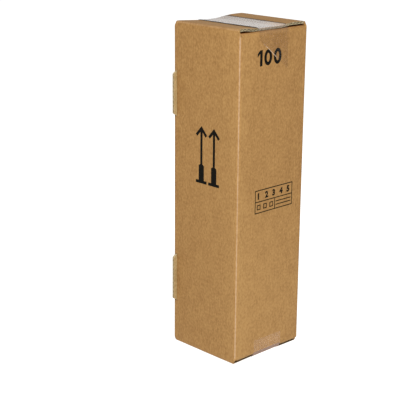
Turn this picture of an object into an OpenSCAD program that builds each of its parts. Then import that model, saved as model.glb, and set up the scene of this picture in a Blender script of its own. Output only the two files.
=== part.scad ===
// Tall corrugated shipping carton. One sheet of single-wall board is wrapped round as five panels,
// the last of them inside the first at the back, where two lock tabs of the inner panel come out
// through slots beside the fold. Two pairs of flaps close each end, and a strip of clear film is
// stuck over each seam. The origin is the middle of the base and +Z is up. The number face looks
// along -Y and the arrow face along -X.

/* [Carton] */
// Outside width of the number face, along X
box_w = 126; // [100:1:160]
// Outside width of the arrow face, along Y
box_d = 121; // [100:1:160]
// Outside height over the closed flaps
box_h = 449; // [400:1:540]

/* [Board] */
// Thickness of the corrugated board
board_t = 3; // [2.5:0.1:3.5]
// Inside radius of every fold
fold_r = 0.5; // [0.3:0.1:1]
// Distance from one flute to the next
flute_pitch = 6.5; // [6:0.1:8]
// Thickness of each facing paper
liner_t = 0.4; // [0.3:0.05:0.5]
// Thickness of the fluted paper
medium_t = 0.35; // [0.25:0.05:0.45]
// How far the flutes stand open behind a cut edge
flute_depth = 5; // [3:0.5:8]

/* [Flaps] */
// Air between the outer and the tucked flaps at the top, where they spring up
top_gap = 2.2; // [0.6:0.1:3.5]
// Air between the outer and the tucked flaps at the base, which the weight presses together
base_gap = 0.8; // [0.6:0.1:2]
// Open width of the seam between the two outer flaps
seam_gap = 1; // [0.5:0.1:3]
// How far an outer flap's ends stand back from the faces at its fold
flap_end_gap = 4; // [3.5:0.1:6]
// How much further they stand back at the seam
flap_taper = 1.2; // [0:0.1:3]
// Space between the tips of the two tucked flaps
tuck_gap = 6; // [2:1:20]
// Play at each side of a tucked flap
tuck_play = 1; // [0.5:0.1:2]

/* [Back] */
// Space between the two layers of the back
ply_gap = 0.3; // [0.2:0.1:0.6]
// How far the outer back panel stops short of the corner
back_edge_gap = 1.5; // [0.5:0.1:3]

/* [Lock tabs] */
// Height of the upper lock tab
upper_tab_h = 60; // [40:1:80]
// Height of the lower lock tab
lower_tab_h = 67; // [40:1:80]
// How far a tab stands out of the arrow face
tab_out = 5.2; // [3:0.1:8]
// Slanted run at both ends of a tab's edge
tab_lead = 3.5; // [1:0.1:6]
// Distance between the middles of the two tabs
tab_spread = 258; // [180:1:290]
// Clearance round a tab in its slot
slot_play = 0.4; // [0.2:0.1:1]

/* [Tape] */
// Width of the film
film_w = 53; // [36:1:60]
// Thickness of the film
film_t = 0.1; // [0.06:0.01:0.2]
// Adhesive between the film and the board
film_gap = 0.05; // [0.03:0.01:0.1]
// Middle of the top film where it meets the number face, along X
film_near_x = -0.5; // [-12:0.5:12]
// Middle of the top film where it meets the back, along X
film_back_x = 3; // [-12:0.5:12]
// How far the top film's torn end reaches down the number face at its short side
tear_short = 16; // [12:1:30]
// How far the torn end reaches down at its long side
tear_long = 58; // [35:1:80]
// How far the top film reaches down the back
film_back_drop = 40; // [15:1:80]
// How far the bottom film reaches up the number face and the back
film_base_rise = 25; // [15:1:80]

/* [Hidden] */

KRAFT = "#B08650";
FILM = [0.86, 0.85, 0.82, 0.5];

// How far a cutting shape runs past what it cuts
overrun = 1;
// Flat steps round a bend of the film
film_steps = 6;
// Places along a flute where the outline of an open cell has its points
cell_shares = [0.12, 0.3, 0.5, 0.7, 0.88];

half_w = box_w / 2;
half_d = box_d / 2;
half_h = box_h / 2;
fold_out = fold_r + board_t;

// Distances from the middle of the carton to one end, with that end's air between the flaps
outer_fold_z = half_h - fold_out;
function tuck_top(gap) = half_h - board_t - gap;
function tuck_fold(gap) = tuck_top(gap) - fold_out;
function inner_top(gap) = tuck_top(gap) - board_t - ply_gap;

// Depths of the two layers of the back, at their outer faces
inner_back_y = half_d - board_t - ply_gap;
inner_edge_x = -half_w + board_t + ply_gap;

base_z = film_t + film_gap;
mid_z = base_z + half_h;

wave_h = (board_t - 2 * liner_t - medium_t) / 2;

// Underside of the fluted paper at a share of one flute, above the board's lower face
function medium_v(share) = board_t / 2 - wave_h * cos(360 * share) - medium_t / 2;

// Angle at which the taut film leaves the number face's fold for the outer flap's edge
function film_angle(gap) =
    let (
        run = fold_out - flap_end_gap,
        rise = half_h - tuck_fold(gap)
    )
    atan2(rise, run) - acos(fold_out / norm([run, rise]));

// Half of the film's line in Y and Z, from its end up to the top, at an offset from the board
function film_half(offset, drop, gap) =
    let (
        bend = film_angle(gap),
        fold_at = [half_d - fold_out, tuck_fold(gap)],
        edge_at = [half_d - flap_end_gap, half_h]
    )
    concat(
        [[half_d + offset, half_h - drop]],
        [for (i = [0 : film_steps])
            let (a = bend * i / film_steps)
            fold_at + (fold_out + offset) * [cos(a), sin(a)]],
        [for (i = [0 : film_steps])
            let (a = bend + (90 - bend) * i / film_steps)
            edge_at + offset * [cos(a), sin(a)]]
    );

function flip_y(points) = [for (p = points) [-p[0], p[1]]];
function back_to_front(points) = [for (i = [len(points) - 1 : -1 : 0]) points[i]];

// One line of the film from the number face over the top to the back
function film_line(offset, near_drop, back_drop, gap) =
    concat(
        flip_y(film_half(offset, near_drop, gap)),
        back_to_front(film_half(offset, back_drop, gap))
    );

// Open cells of the flutes behind a cut edge that runs along X, with the board's thickness along Y
module flute_cells(length) {
    count = floor(length / flute_pitch - 1 / 2);
    start = (length - (count + 1 / 2) * flute_pitch) / 2;
    first = cell_shares[0] * flute_pitch;
    last = cell_shares[len(cell_shares) - 1] * flute_pitch;
    arch = [for (s = cell_shares) [s * flute_pitch, medium_v(s)]];
    cell = concat(arch, [[last, liner_t], [first, liner_t]]);
    translate([0, 0, -overrun])
        for (i = [0 : count - 1])
            translate([start + i * flute_pitch, 0, 0]) {
                linear_extrude(height = flute_depth + overrun) polygon(cell);
                translate([flute_pitch / 2, board_t, 0]) mirror([0, 1, 0])
                    linear_extrude(height = flute_depth + overrun) polygon(cell);
            }
}

// Quarter turn of board about the Z axis, from +X towards +Y
module fold(length) {
    rotate_extrude(angle = 90) translate([fold_r, 0]) square([board_t, length]);
}

// Upright fold at a corner of the wrap between two heights, turned by a number of degrees
module corner_fold(x, y, turn, low, high) {
    translate([x, y, low]) rotate([0, 0, turn]) fold(high - low);
}

// Slanted cut that clears the corner folds beside the ends of the outer flaps
module corner_relief(gap) {
    slope = (outer_fold_z - tuck_fold(gap)) / fold_out;
    past = half_d + overrun;
    rotate([90, 0, 90]) linear_extrude(height = box_w + 2 * overrun, center = true)
        polygon([
            [half_d - fold_out, outer_fold_z],
            [past, outer_fold_z - slope * (past - half_d + fold_out)],
            [past, outer_fold_z + overrun],
            [half_d - fold_out, outer_fold_z + overrun]
        ]);
}

module corner_reliefs() {
    for (side = [0, 1]) mirror([0, side, 0]) {
        corner_relief(top_gap);
        mirror([0, 0, 1]) corner_relief(base_gap);
    }
}

// The three corner folds that show, cut back beside the flap ends
module outer_corners() {
    x = half_w - fold_out;
    y = half_d - fold_out;
    difference() {
        union() {
            corner_fold(-x, -y, 180, -outer_fold_z, outer_fold_z);
            corner_fold(x, -y, 270, -outer_fold_z, outer_fold_z);
            corner_fold(-x, y, 90, -outer_fold_z, outer_fold_z);
        }
        corner_reliefs();
    }
}

// A flat panel between two opposite corners
module panel(low, high) {
    translate(low) cube(high - low);
}

module number_wall() {
    panel([-half_w + fold_out, -half_d, -tuck_fold(base_gap)],
          [half_w - fold_out, -half_d + board_t, tuck_fold(top_gap)]);
}

module arrow_wall() {
    panel([-half_w, -half_d + fold_out, -outer_fold_z],
          [-half_w + board_t, half_d - fold_out, outer_fold_z]);
}

module far_wall() {
    panel([half_w - board_t, -half_d + fold_out, -outer_fold_z],
          [half_w, inner_back_y - fold_out, outer_fold_z]);
    corner_fold(half_w - fold_out, inner_back_y - fold_out, 0,
                -inner_top(base_gap), inner_top(top_gap));
}

// Outer layer of the back, with the flutes open along its free upright edge
module outer_back() {
    edge_x = half_w - back_edge_gap;
    low = -tuck_fold(base_gap);
    high = tuck_fold(top_gap);
    difference() {
        panel([-half_w + fold_out, half_d - board_t, low], [edge_x, half_d, high]);
        translate([edge_x, half_d - board_t, low]) rotate([0, -90, 0]) flute_cells(high - low);
    }
}

// Lock tab of the inner back panel, with the flutes open along its edge
module lock_tab(tab_h) {
    tip_x = -half_w - tab_out;
    half_tab = tab_h / 2;
    edge_h = tab_h - 2 * tab_lead;
    difference() {
        translate([0, inner_back_y, 0]) rotate([90, 0, 0]) linear_extrude(height = board_t)
            polygon([
                [inner_edge_x, -half_tab],
                [-half_w, -half_tab],
                [tip_x, -half_tab + tab_lead],
                [tip_x, half_tab - tab_lead],
                [-half_w, half_tab],
                [inner_edge_x, half_tab]
            ]);
        translate([tip_x, inner_back_y - board_t, edge_h / 2]) rotate([0, 90, 0])
            flute_cells(edge_h);
    }
}

// Slot in the arrow wall that a lock tab passes through
module tab_slot(tab_h) {
    reach = tab_h / 2 + slot_play;
    panel([-half_w - overrun, inner_back_y - board_t - slot_play, -reach],
          [inner_edge_x, inner_back_y + slot_play, reach]);
}

module inner_back() {
    panel([inner_edge_x, inner_back_y - board_t, -inner_top(base_gap)],
          [half_w - fold_out, inner_back_y, inner_top(top_gap)]);
    translate([0, 0, tab_spread / 2]) lock_tab(upper_tab_h);
    translate([0, 0, -tab_spread / 2]) lock_tab(lower_tab_h);
}

// Outer flap on the arrow face's side of the top, with the flutes open at both ends
module outer_flap() {
    root_x = -half_w + fold_out;
    tip_x = -seam_gap / 2;
    root_y = half_d - flap_end_gap;
    tip_y = root_y - flap_taper;
    translate([root_x, -root_y, outer_fold_z]) rotate([90, 0, 180]) fold(2 * root_y);
    difference() {
        translate([0, 0, half_h - board_t]) linear_extrude(height = board_t)
            polygon([[root_x, -root_y], [tip_x, -tip_y], [tip_x, tip_y], [root_x, root_y]]);
        for (side = [0, 1]) mirror([0, side, 0])
            translate([tip_x, -root_y, half_h - board_t]) rotate([90, 0, 180])
                flute_cells(tip_x - root_x);
    }
}

// Tucked flap on the number face's side of the top, a board and some air below the outer flaps
module tucked_flap(gap) {
    reach = half_w - board_t - tuck_play;
    translate([reach, -half_d + fold_out, tuck_fold(gap)]) rotate([90, 0, -90]) fold(2 * reach);
    panel([-reach, -half_d + fold_out, tuck_top(gap) - board_t],
          [reach, -tuck_gap / 2, tuck_top(gap)]);
}

module closure(gap) {
    for (side = [0, 1]) {
        mirror([side, 0, 0]) outer_flap();
        mirror([0, side, 0]) tucked_flap(gap);
    }
}

module carton() color(KRAFT) translate([0, 0, mid_z]) {
    difference() {
        union() {
            arrow_wall();
            outer_corners();
        }
        translate([0, 0, tab_spread / 2]) tab_slot(upper_tab_h);
        translate([0, 0, -tab_spread / 2]) tab_slot(lower_tab_h);
    }
    number_wall();
    far_wall();
    outer_back();
    inner_back();
    closure(top_gap);
    mirror([0, 0, 1]) closure(base_gap);
}

// Strip of film over the top, between two places along X where it meets the faces
module film(near_x, back_x, near_drop, back_drop, gap) {
    inner = film_line(film_gap, near_drop, back_drop, gap);
    outer = film_line(film_gap + film_t, near_drop, back_drop, gap);
    past = half_d + film_gap + film_t + overrun;
    intersection() {
        rotate([90, 0, 90]) linear_extrude(height = box_w, center = true)
            polygon(concat(inner, back_to_front(outer)));
        linear_extrude(height = box_h + 2 * overrun, center = true)
            polygon([
                [near_x - film_w / 2, -past],
                [near_x + film_w / 2, -past],
                [back_x + film_w / 2, past],
                [back_x - film_w / 2, past]
            ]);
    }
}

// What is missing below the slanted tear across the top film's end on the number face
module tear() {
    low_z = half_h - tear_long - overrun;
    left_x = film_near_x - film_w / 2;
    right_x = film_near_x + film_w / 2;
    slope = (tear_long - tear_short) / film_w;
    translate([0, -half_d + overrun, 0]) rotate([90, 0, 0]) linear_extrude(height = 2 * overrun)
        polygon([
            [left_x - overrun, half_h - tear_short + slope * overrun],
            [right_x + overrun, half_h - tear_long - slope * overrun],
            [right_x + overrun, low_z - slope * overrun],
            [left_x - overrun, low_z - slope * overrun]
        ]);
}

module top_tape() color(FILM) translate([0, 0, mid_z]) difference() {
    film(film_near_x, film_back_x, tear_long + overrun, film_back_drop, top_gap);
    tear();
}

module bottom_tape() color(FILM) translate([0, 0, mid_z]) mirror([0, 0, 1])
    film(0, 0, film_base_rise, film_base_rise, base_gap);

carton();
top_tape();
bottom_tape();
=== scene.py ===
"""Looks of a tall corrugated shipping carton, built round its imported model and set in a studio."""

import logging
import math
from collections.abc import Callable, Iterable
from dataclasses import dataclass, replace
from enum import Enum, IntEnum
from itertools import pairwise

import bmesh
import bpy
from bmesh.types import BMEdge, BMesh, BMFace, BMVert
from mathutils import Matrix, Vector, noise

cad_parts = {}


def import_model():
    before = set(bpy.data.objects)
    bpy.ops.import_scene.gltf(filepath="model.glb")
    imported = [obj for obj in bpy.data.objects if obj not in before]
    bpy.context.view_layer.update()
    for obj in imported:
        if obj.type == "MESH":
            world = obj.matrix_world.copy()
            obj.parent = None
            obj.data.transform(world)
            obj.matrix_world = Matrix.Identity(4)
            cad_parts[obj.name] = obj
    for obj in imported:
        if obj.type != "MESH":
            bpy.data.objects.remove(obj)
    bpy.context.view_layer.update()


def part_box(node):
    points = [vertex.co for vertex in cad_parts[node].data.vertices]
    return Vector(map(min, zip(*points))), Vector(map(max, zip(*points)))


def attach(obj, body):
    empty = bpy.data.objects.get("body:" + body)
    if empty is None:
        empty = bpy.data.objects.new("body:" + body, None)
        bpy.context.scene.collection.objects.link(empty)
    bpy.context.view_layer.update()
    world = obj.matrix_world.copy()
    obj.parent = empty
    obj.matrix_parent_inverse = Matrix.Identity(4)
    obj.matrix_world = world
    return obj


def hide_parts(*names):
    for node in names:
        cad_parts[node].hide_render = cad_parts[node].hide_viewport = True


LOG = logging.getLogger("carton")

Tree = bpy.types.NodeTree
Socket = bpy.types.NodeSocket
Layer = bmesh.types.BMLayerItem

# Meshes are built in millimetres, and this turns them into Blender's metres
MM = 0.001
QUARTER = math.pi / 2
BODY = "root"
# How near two places have to be to count as the same
SNAP = 0.01
# Radians that Blender's wave texture turns over one unit
WAVE_TURN = 20
# Paper that mirrors nothing
MATT = {"Roughness": 1.0, "Specular IOR Level": 0.0}


class End(Enum):
    """The two closed ends of the carton, by the sign of their height above its middle."""

    TOP = 1
    BOTTOM = -1


class Wall(Enum):
    """Which upright face a print stands on."""

    ARROW = "arrow"
    NUMBER = "number"


class Paper(IntEnum):
    """Finishes of the carton, by material index."""

    LINER = 0
    CUT = 1
    # Painted shade in the open flutes and in the slot between the flaps
    DEPTH = 2
    # Painted shade on the cut edges at the base, dark like a shadow along the floor
    PAINTED_BASE_SHADE = 3
    # Lighter liner on the lock tabs, painted light
    TAB = 4


class FilmMark(Enum):
    """Marks that the film's mesh carries and its finish shows."""

    # Darker long edges of the film on the top, and its darker bridge at the base
    DARKENING = "dust"
    STRETCH = "stretch"
    # Haze on the film's top, partly scuffs and partly painted glare
    SCUFF_AND_GLARE = "scuff"


def linear(code: str) -> tuple[float, float, float, float]:
    """Turn an sRGB hex colour into linear red, green, blue and alpha.

    Args:
        code: Colour such as "#b08650".

    Returns:
        The four linear channels, with alpha 1.
    """
    knee, slope, offset, power = 0.04045, 12.92, 0.055, 2.4
    shares = [int(code[i : i + 2], 16) / 255 for i in (1, 3, 5)]
    channels = [
        s / slope if s <= knee else ((s + offset) / (1 + offset)) ** power for s in shares
    ]
    return (*channels, 1.0)


def add_node(
    tree: Tree, kind: str, settings: dict | None = None, links: dict | None = None
) -> bpy.types.Node:
    """Add one shader node with its settings and links.

    Args:
        tree: Node tree of the material.
        kind: Blender's name of the node type, without its common start.
        settings: Values by property name, or by the name or index of an input.
        links: Output sockets by the name or index of the input that they feed.

    Returns:
        The new node.
    """
    node = tree.nodes.new("ShaderNode" + kind)
    for key, value in (settings or {}).items():
        if isinstance(key, str) and key in node.bl_rna.properties:
            setattr(node, key, value)
        else:
            node.inputs[key].default_value = value
    for key, socket in (links or {}).items():
        tree.links.new(socket, node.inputs[key])
    return node


def reckon(tree: Tree, operation: str, *terms: Socket | float) -> Socket:
    """Work out one step of arithmetic.

    Args:
        tree: Node tree of the material.
        operation: Blender's name of the operation.
        terms: Sockets and plain numbers, in the order of the inputs.

    Returns:
        The result.
    """
    fixed = {i: t for i, t in enumerate(terms) if isinstance(t, float)}
    linked = {i: t for i, t in enumerate(terms) if not isinstance(t, float)}
    return add_node(tree, "Math", {"operation": operation, **fixed}, linked).outputs[0]


def ranged(
    tree: Tree, value: Socket, start: float, end: float, low: float = 0.0, high: float = 1.0
) -> Socket:
    """Turn one range of a value into another, held at both ends.

    Args:
        tree: Node tree of the material.
        value: The value.
        start: Value that gives the low result.
        end: Value that gives the high result.
        low: First result.
        high: Last result.

    Returns:
        The result.
    """
    limits = {"From Min": start, "From Max": end, "To Min": low, "To Max": high}
    return add_node(tree, "MapRange", limits, {"Value": value}).outputs[0]


def average(tree: Tree, share: float, one: Socket, other: Socket) -> Socket:
    """Average two patterns.

    Args:
        tree: Node tree of the material.
        share: Weight of the second pattern.
        one: First pattern.
        other: Second pattern.

    Returns:
        The mixed pattern.
    """
    return add_node(tree, "Mix", {0: share}, {2: one, 3: other}).outputs[0]


def blend(tree: Tree, share: Socket, one: Socket | str, other: Socket | str) -> Socket:
    """Blend two colours.

    Args:
        tree: Node tree of the material.
        share: Weight of the second colour.
        one: First colour, from a node or as a hex code.
        other: Second colour, from a node or as a hex code.

    Returns:
        The mixed colour.
    """
    ends = {6: one, 7: other}
    codes = {key: linear(end) for key, end in ends.items() if isinstance(end, str)}
    nodes = {key: end for key, end in ends.items() if not isinstance(end, str)}
    return add_node(tree, "Mix", {"data_type": "RGBA", **codes}, {0: share, **nodes}).outputs[2]


def speckle(
    tree: Tree, place: Socket, size: float, detail: float, roughness: float = 0.5
) -> Socket:
    """Fill space with a soft random pattern.

    Args:
        tree: Node tree of the material.
        place: Coordinates.
        size: Size of the pattern, in the unit of the coordinates.
        detail: How many finer patterns are added.
        roughness: Strength of the finer patterns.

    Returns:
        The pattern.
    """
    look = {"Scale": 1 / size, "Detail": detail, "Roughness": roughness}
    return add_node(tree, "TexNoise", look, {"Vector": place}).outputs[0]


def raised(tree: Tree, height: Socket, strength: float, depth_mm: float) -> Socket:
    """Turn a pattern into a fine relief.

    Args:
        tree: Node tree of the material.
        height: The pattern.
        strength: How strongly it shows.
        depth_mm: Depth of the relief in millimetres.

    Returns:
        The bumped normal.
    """
    look = {"Strength": strength, "Distance": depth_mm * MM}
    return add_node(tree, "Bump", look, {"Height": height}).outputs[0]


def smoothstep(low: float, high: float, value: float) -> float:
    """Give a smooth share from 0 at low to 1 at high.

    Args:
        low: Value that gives 0.
        high: Value that gives 1.
        value: Value to place between them.

    Returns:
        The share.
    """
    share = min(1.0, max(0.0, (value - low) / (high - low)))
    return share * share * (3 - 2 * share)


def spaced(marks: Iterable[float], pitch: float) -> list[float]:
    """Fill the gaps between marks with even steps.

    Args:
        marks: Places that have to be kept.
        pitch: Longest step allowed.

    Returns:
        All places in rising order.
    """
    kept = sorted({round(m, 6) for m in marks})
    places = [kept[0]]
    for low, high in pairwise(kept):
        count = max(1, math.ceil((high - low) / pitch))
        places += [low + (high - low) * i / count for i in range(1, count + 1)]
    return places


def fresh(geom: Iterable) -> tuple[list[BMVert], list[BMEdge], list[BMFace]]:
    """Sort what an extrusion made into its new end, without the sides.

    Args:
        geom: Geometry that the operator gave back.

    Returns:
        Vertices, edges and faces of the new end.
    """
    verts = [g for g in geom if isinstance(g, BMVert)]
    known = set(verts)
    edges = [g for g in geom if isinstance(g, BMEdge) and known.issuperset(g.verts)]
    faces = [g for g in geom if isinstance(g, BMFace) and known.issuperset(g.verts)]
    return verts, edges, faces


def pick(bm: BMesh, test: Callable[[Vector], bool]) -> list[BMFace]:
    """List the faces whose middle passes a test.

    Args:
        bm: Mesh to search.
        test: Takes the middle of a face.

    Returns:
        The faces.
    """
    return [f for f in bm.faces if test(f.calc_center_median())]


def corners(faces: Iterable[BMFace]) -> list[BMVert]:
    """List the vertices of some faces, each once."""
    return list({v for f in faces for v in f.verts})


def region(bm: BMesh, faces: Iterable[BMFace]) -> list:
    """List faces with their edges and vertices, as the extrusions want them.

    Args:
        bm: Mesh of the faces.
        faces: Faces of one region.

    Returns:
        The faces, their edges and their vertices.
    """
    bm.verts.index_update()
    bm.edges.index_update()
    kept = list(faces)
    edges = sorted({e for f in kept for e in f.edges}, key=lambda e: e.index)
    verts = sorted(corners(kept), key=lambda v: v.index)
    return [*kept, *edges, *verts]


def grow(bm: BMesh, faces: Iterable[BMFace], step: Vector) -> list[BMFace]:
    """Extrude a region of faces by one step.

    Args:
        bm: Mesh to work on.
        faces: Faces to extrude.
        step: Way that they move.

    Returns:
        The faces at the new end.
    """
    made = bmesh.ops.extrude_face_region(bm, geom=region(bm, faces))
    verts, _, ends = fresh(made["geom"])
    bmesh.ops.translate(bm, verts=verts, vec=step)
    return ends


def turn(
    bm: BMesh, faces: Iterable[BMFace], centre: Vector, axis: Vector, angle: float, steps: int
) -> list[BMFace]:
    """Bend a region of faces round an axis.

    Args:
        bm: Mesh to work on.
        faces: Faces to spin.
        centre: A point on the axis.
        axis: Direction of the axis.
        angle: Whole turn in radians.
        steps: Flat steps round the bend.

    Returns:
        The faces at the new end.
    """
    made = bmesh.ops.spin(
        bm,
        geom=region(bm, faces),
        cent=centre,
        axis=axis,
        angle=angle,
        steps=steps,
        use_merge=False,
    )
    return fresh(made["geom_last"])[2]


def thicken(bm: BMesh, depth: float) -> None:
    """Give an open sheet its thickness, on the side away from its normals.

    Args:
        bm: The sheet, with its faces pointing outwards.
        depth: Thickness of the finished sheet.
    """
    bm.normal_update()
    sheet = [(v, v.normal.copy()) for v in bm.verts]
    bmesh.ops.extrude_face_region(bm, geom=region(bm, bm.faces))
    for vert, normal in sheet:
        vert.co -= normal * depth
    bmesh.ops.recalc_face_normals(bm, faces=bm.faces)


@dataclass(frozen=True)
class Board:
    """Single-wall corrugated board, in millimetres."""

    thickness: float = 3.0
    liner: float = 0.4
    medium: float = 0.35
    flute_pitch: float = 6.5
    flute_depth: float = 5.0
    fold_radius: float = 0.5
    fold_steps: int = 6

    @property
    def fold_out(self) -> float:
        """Outside radius of a fold."""
        return self.fold_radius + self.thickness

    @property
    def plies(self) -> tuple[float, float, float]:
        """Thickness of the inner liner, the fluted core and the outer liner."""
        return self.liner, self.thickness - 2 * self.liner, self.liner


@dataclass(frozen=True)
class Handling:
    """Lasting bends that folding, packing and handling leave in the carton, in millimetres."""

    half_w: float
    half_d: float
    half_h: float
    mid_z: float
    # Heights between which the top flaps' moves take over from the walls'
    lid_low: float
    lid_high: float
    bow: float = 0.4
    waist: float = 0.12
    # Shares of the way out to a wall between which its bow sets in
    wall_shares: tuple[float, float] = (0.72, 0.9)
    # Trough under the top film, with a pair for its front and its back end: how deep it is, where
    # its middle lies, and how far its flat floor and its slope reach to the left and to the right
    sag: tuple[float, float] = (1.95, 3.3)
    sag_x: tuple[float, float] = (-0.5, 3.0)
    left_flat: tuple[float, float] = (33.0, 5.0)
    left_side: tuple[float, float] = (18.0, 68.0)
    right_flat: tuple[float, float] = (13.0, 0.0)
    right_side: tuple[float, float] = (24.0, 40.0)
    # Number face's top edge pressed down and the base pressed up, with pairs for the distances
    # from the front corner within which the move is full and past which there is none
    edge_dip: float = 1.0
    corner_dip: float = 0.35
    dip_width: tuple[float, float] = (26.0, 52.0)
    dip_depth: tuple[float, float] = (7.0, 14.0)
    dip_height: float = 24.0
    base_lift: float = 1.25
    lift_width: tuple[float, float] = (83.0, 93.0)
    lift_depth: tuple[float, float] = (12.0, 30.0)
    lift_height: float = 60.0
    # Depth behind a wall's face over which the moves of its edges set in
    skin: float = 3.5
    ripple: float = 0.05
    ripple_size: float = 70.0

    def shift(self, place: Vector) -> Vector:
        """Find how far handling has moved a point of the carton.

        Args:
            place: The point before handling, in the frame of the part.

        Returns:
            The move.
        """
        across = place.x / self.half_w
        along = place.y / self.half_d
        up = (place.z - self.mid_z) / self.half_h
        window = max(0.0, 1 - up * up)
        side_x, side_y = (
            math.copysign(smoothstep(*self.wall_shares, abs(share)), share)
            for share in (across, along)
        )
        wave = noise.noise(place / self.ripple_size)
        depth = self.waist + self.ripple * (1 + wave)
        move = Vector((
            -side_x * window * (self.bow * max(0.0, 1 - along * along) + depth),
            -side_y * window * (self.bow * max(0.0, 1 - across * across) + depth),
            0.0,
        ))
        lid = smoothstep(self.lid_low, self.lid_high, place.z)
        move.z = -self.trough(place.x, (along + 1) / 2) * lid - self.dip(place) * (1 - lid)
        move.z += self.lift(place)
        return move

    def trough(self, x: float, share: float) -> float:
        """Find how deep the top flaps are pressed in under the film.

        Args:
            x: Place across the carton.
            share: Place from its front to its back, from 0 to 1.

        Returns:
            The depth.
        """
        deepest, middle, *left, flat, side = (
            front + (back - front) * share
            for front, back in (
                self.sag,
                self.sag_x,
                self.left_flat,
                self.left_side,
                self.right_flat,
                self.right_side,
            )
        )
        if x < middle:
            flat, side = left
        return deepest * (1 - smoothstep(flat, flat + side, abs(x - middle)))

    def dip(self, place: Vector) -> float:
        """Find how far the number face's top edge is pressed down, most of all by the front fold.

        Args:
            place: A point of the carton.

        Returns:
            The depth.
        """
        near_x = 1 - smoothstep(*self.dip_width, place.x + self.half_w)
        near_y = 1 - smoothstep(*self.dip_depth, place.y + self.half_d)
        inside = smoothstep(0.0, self.skin, self.half_w - abs(place.x))
        rise = smoothstep(self.lid_low - self.dip_height, self.lid_low, place.z)
        return (self.edge_dip + self.corner_dip * near_x) * near_y * inside * rise

    def lift(self, place: Vector) -> float:
        """Find how far the base is pressed up along the number face, as far as its film.

        Args:
            place: A point of the carton.

        Returns:
            The height.
        """
        near_x = 1 - smoothstep(*self.lift_width, place.x + self.half_w)
        near_y = 1 - smoothstep(*self.lift_depth, place.y + self.half_d)
        inside = smoothstep(-self.half_w, self.skin - self.half_w, place.x)
        low = 1 - smoothstep(0.0, self.lift_height, place.z)
        return self.base_lift * near_x * near_y * inside * low

    def apply(self, bm: BMesh) -> None:
        """Bend a mesh that stands in the frame of the part.

        Args:
            bm: Mesh to bend, in millimetres.
        """
        for vert in bm.verts:
            vert.co += self.shift(vert.co)


def make_piece(
    bm: BMesh, name: str, materials: list[bpy.types.Material], crease: float
) -> bpy.types.Object:
    """Turn a mesh in millimetres into a finished piece in metres, at the origin.

    Args:
        bm: Mesh in the frame of the part. It is freed.
        name: Name of the piece.
        materials: Finishes by material index.
        crease: Angle in degrees past which an edge is shaded sharp.

    Returns:
        The piece, riding on the carton's body.
    """
    bmesh.ops.scale(bm, vec=Vector((MM, MM, MM)), verts=bm.verts)
    mesh = bpy.data.meshes.new(name)
    bm.to_mesh(mesh)
    bm.free()
    mesh.shade_smooth()
    mesh.set_sharp_from_angle(angle=math.radians(crease))
    for material in materials:
        mesh.materials.append(material)
    piece = bpy.data.objects.new(name, mesh)
    bpy.context.scene.collection.objects.link(piece)
    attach(piece, BODY)
    LOG.info("%s: %d faces", name, len(mesh.polygons))
    return piece


@dataclass(frozen=True)
class Finish:
    """A finish with a material of its own, laid out by object coordinates."""

    name: str

    def build(self) -> bpy.types.Material:
        """Make the material."""
        material = bpy.data.materials.new(self.name)
        material.use_nodes = True
        tree = material.node_tree
        tree.nodes.clear()
        place = add_node(tree, "TexCoord").outputs["Object"]
        add_node(tree, "OutputMaterial", None, {"Surface": self.surface(tree, place)})
        return material

    def surface(self, tree: Tree, place: Socket) -> Socket:
        """Lay out the shader, which each finish does in its own way.

        Args:
            tree: Node tree of the material.
            place: Object coordinates in metres.

        Returns:
            The shader.
        """
        raise NotImplementedError


@dataclass(frozen=True)
class PaperGrain:
    """One random pattern in paper, in millimetres."""

    size: float
    # Heights are multiplied by this, which makes the pattern longer upright
    squeeze: float
    detail: float
    roughness: float = 0.6

    def draw(self, tree: Tree, mm: Socket) -> Socket:
        """Lay the pattern out.

        Args:
            tree: Node tree of the material.
            mm: Object coordinates in millimetres.

        Returns:
            The pattern.
        """
        upright = add_node(tree, "Mapping", {"Scale": (1.0, 1.0, self.squeeze)}, {"Vector": mm})
        return speckle(tree, upright.outputs[0], self.size, self.detail, self.roughness)


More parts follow.
